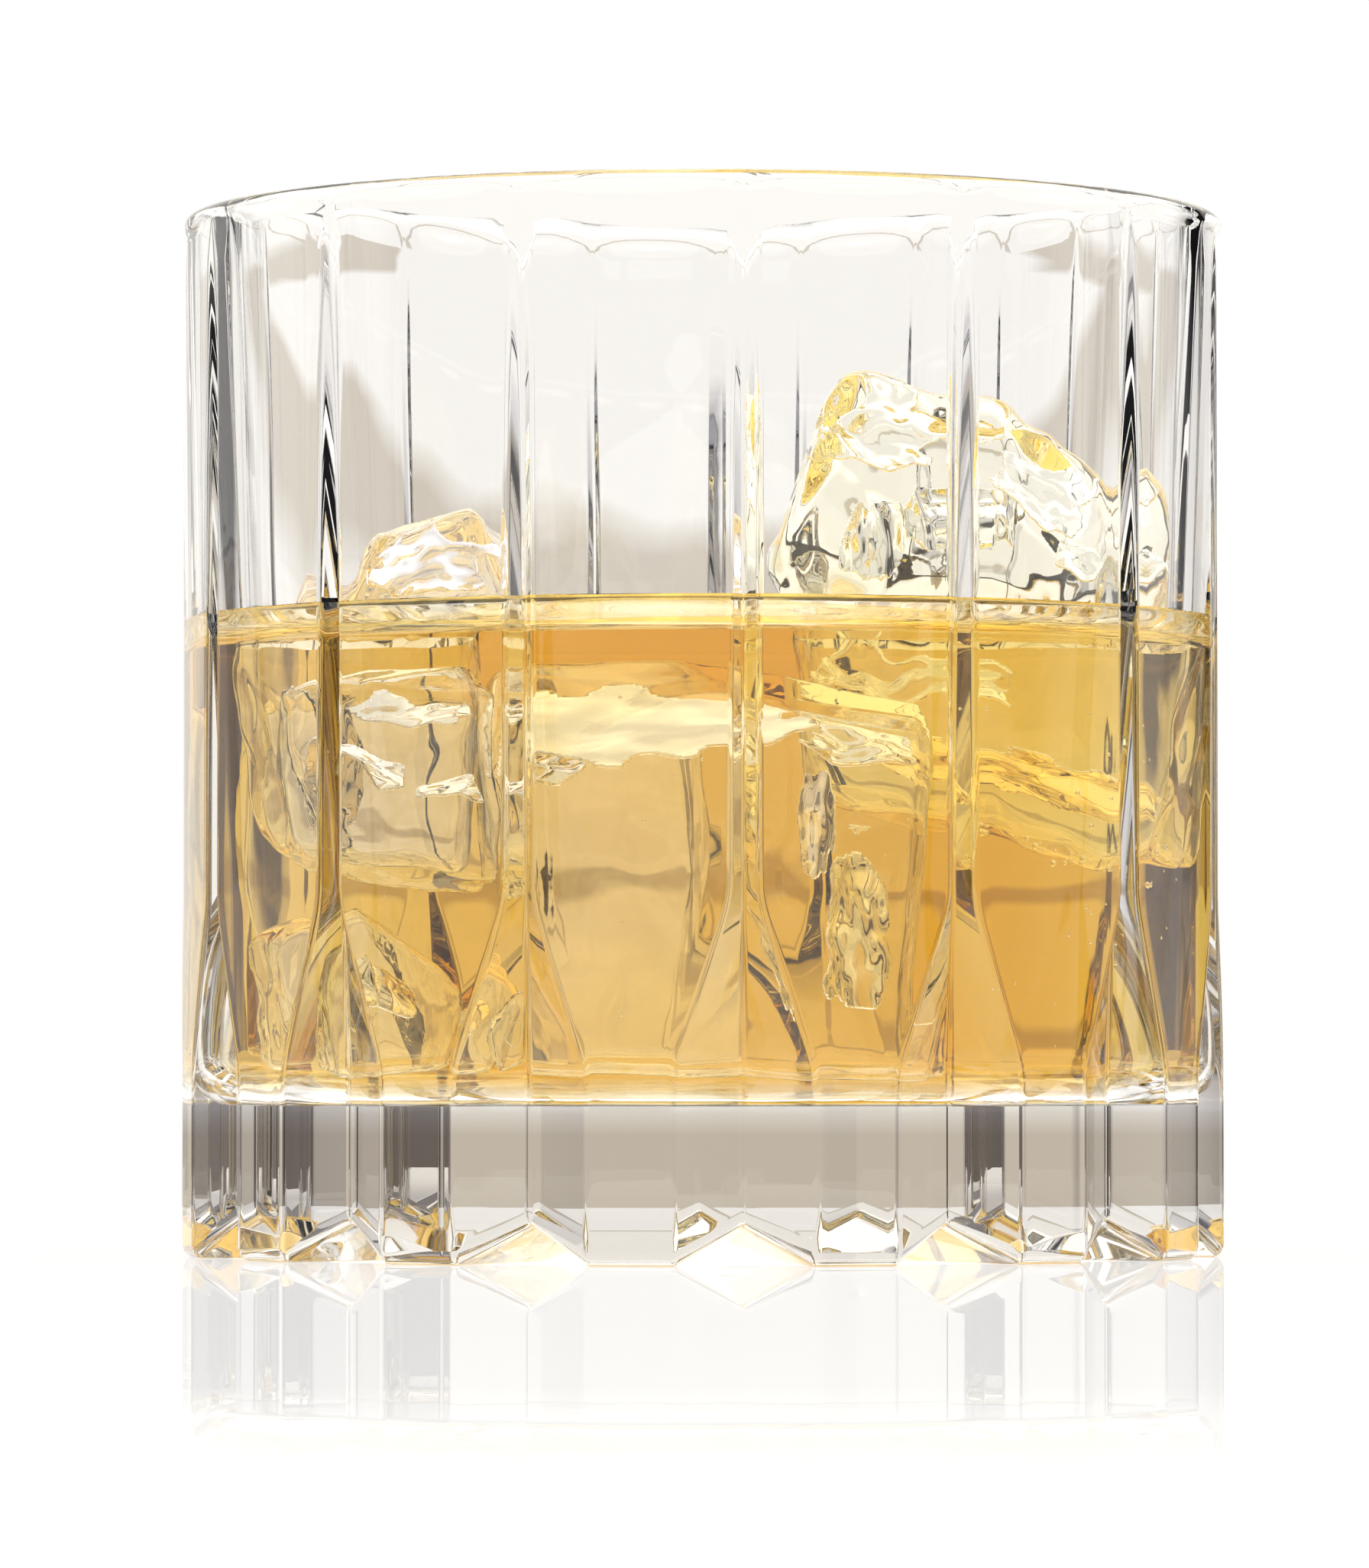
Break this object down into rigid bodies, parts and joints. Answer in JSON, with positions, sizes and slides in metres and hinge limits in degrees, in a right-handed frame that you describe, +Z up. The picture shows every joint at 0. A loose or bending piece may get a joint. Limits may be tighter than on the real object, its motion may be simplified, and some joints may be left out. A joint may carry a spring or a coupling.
{
  "type": "whisky on the rocks in a tumbler",
  "caption": "Heavy clear glass tumbler with flat panels and narrow grooves, part filled with amber whisky round blocks of ice.",
  "frame": {"origin": "on the table, under the middle of the glass", "axes": "+Z up along the glass's axis, -Y towards the viewer of the large ice block at the right"},
  "size_m": [0.0839, 0.084, 0.0837],
  "materials": {
    "glass": "clear, fire-polished",
    "whisky": "clear amber liquid",
    "ice": "wet, clear with cracks"
  },
  "bodies": {
    "root": {"tumbler": "glass", "drink": "whisky", "ice_large": "ice", "ice_left": "ice"}
  },
  "joints": []
}
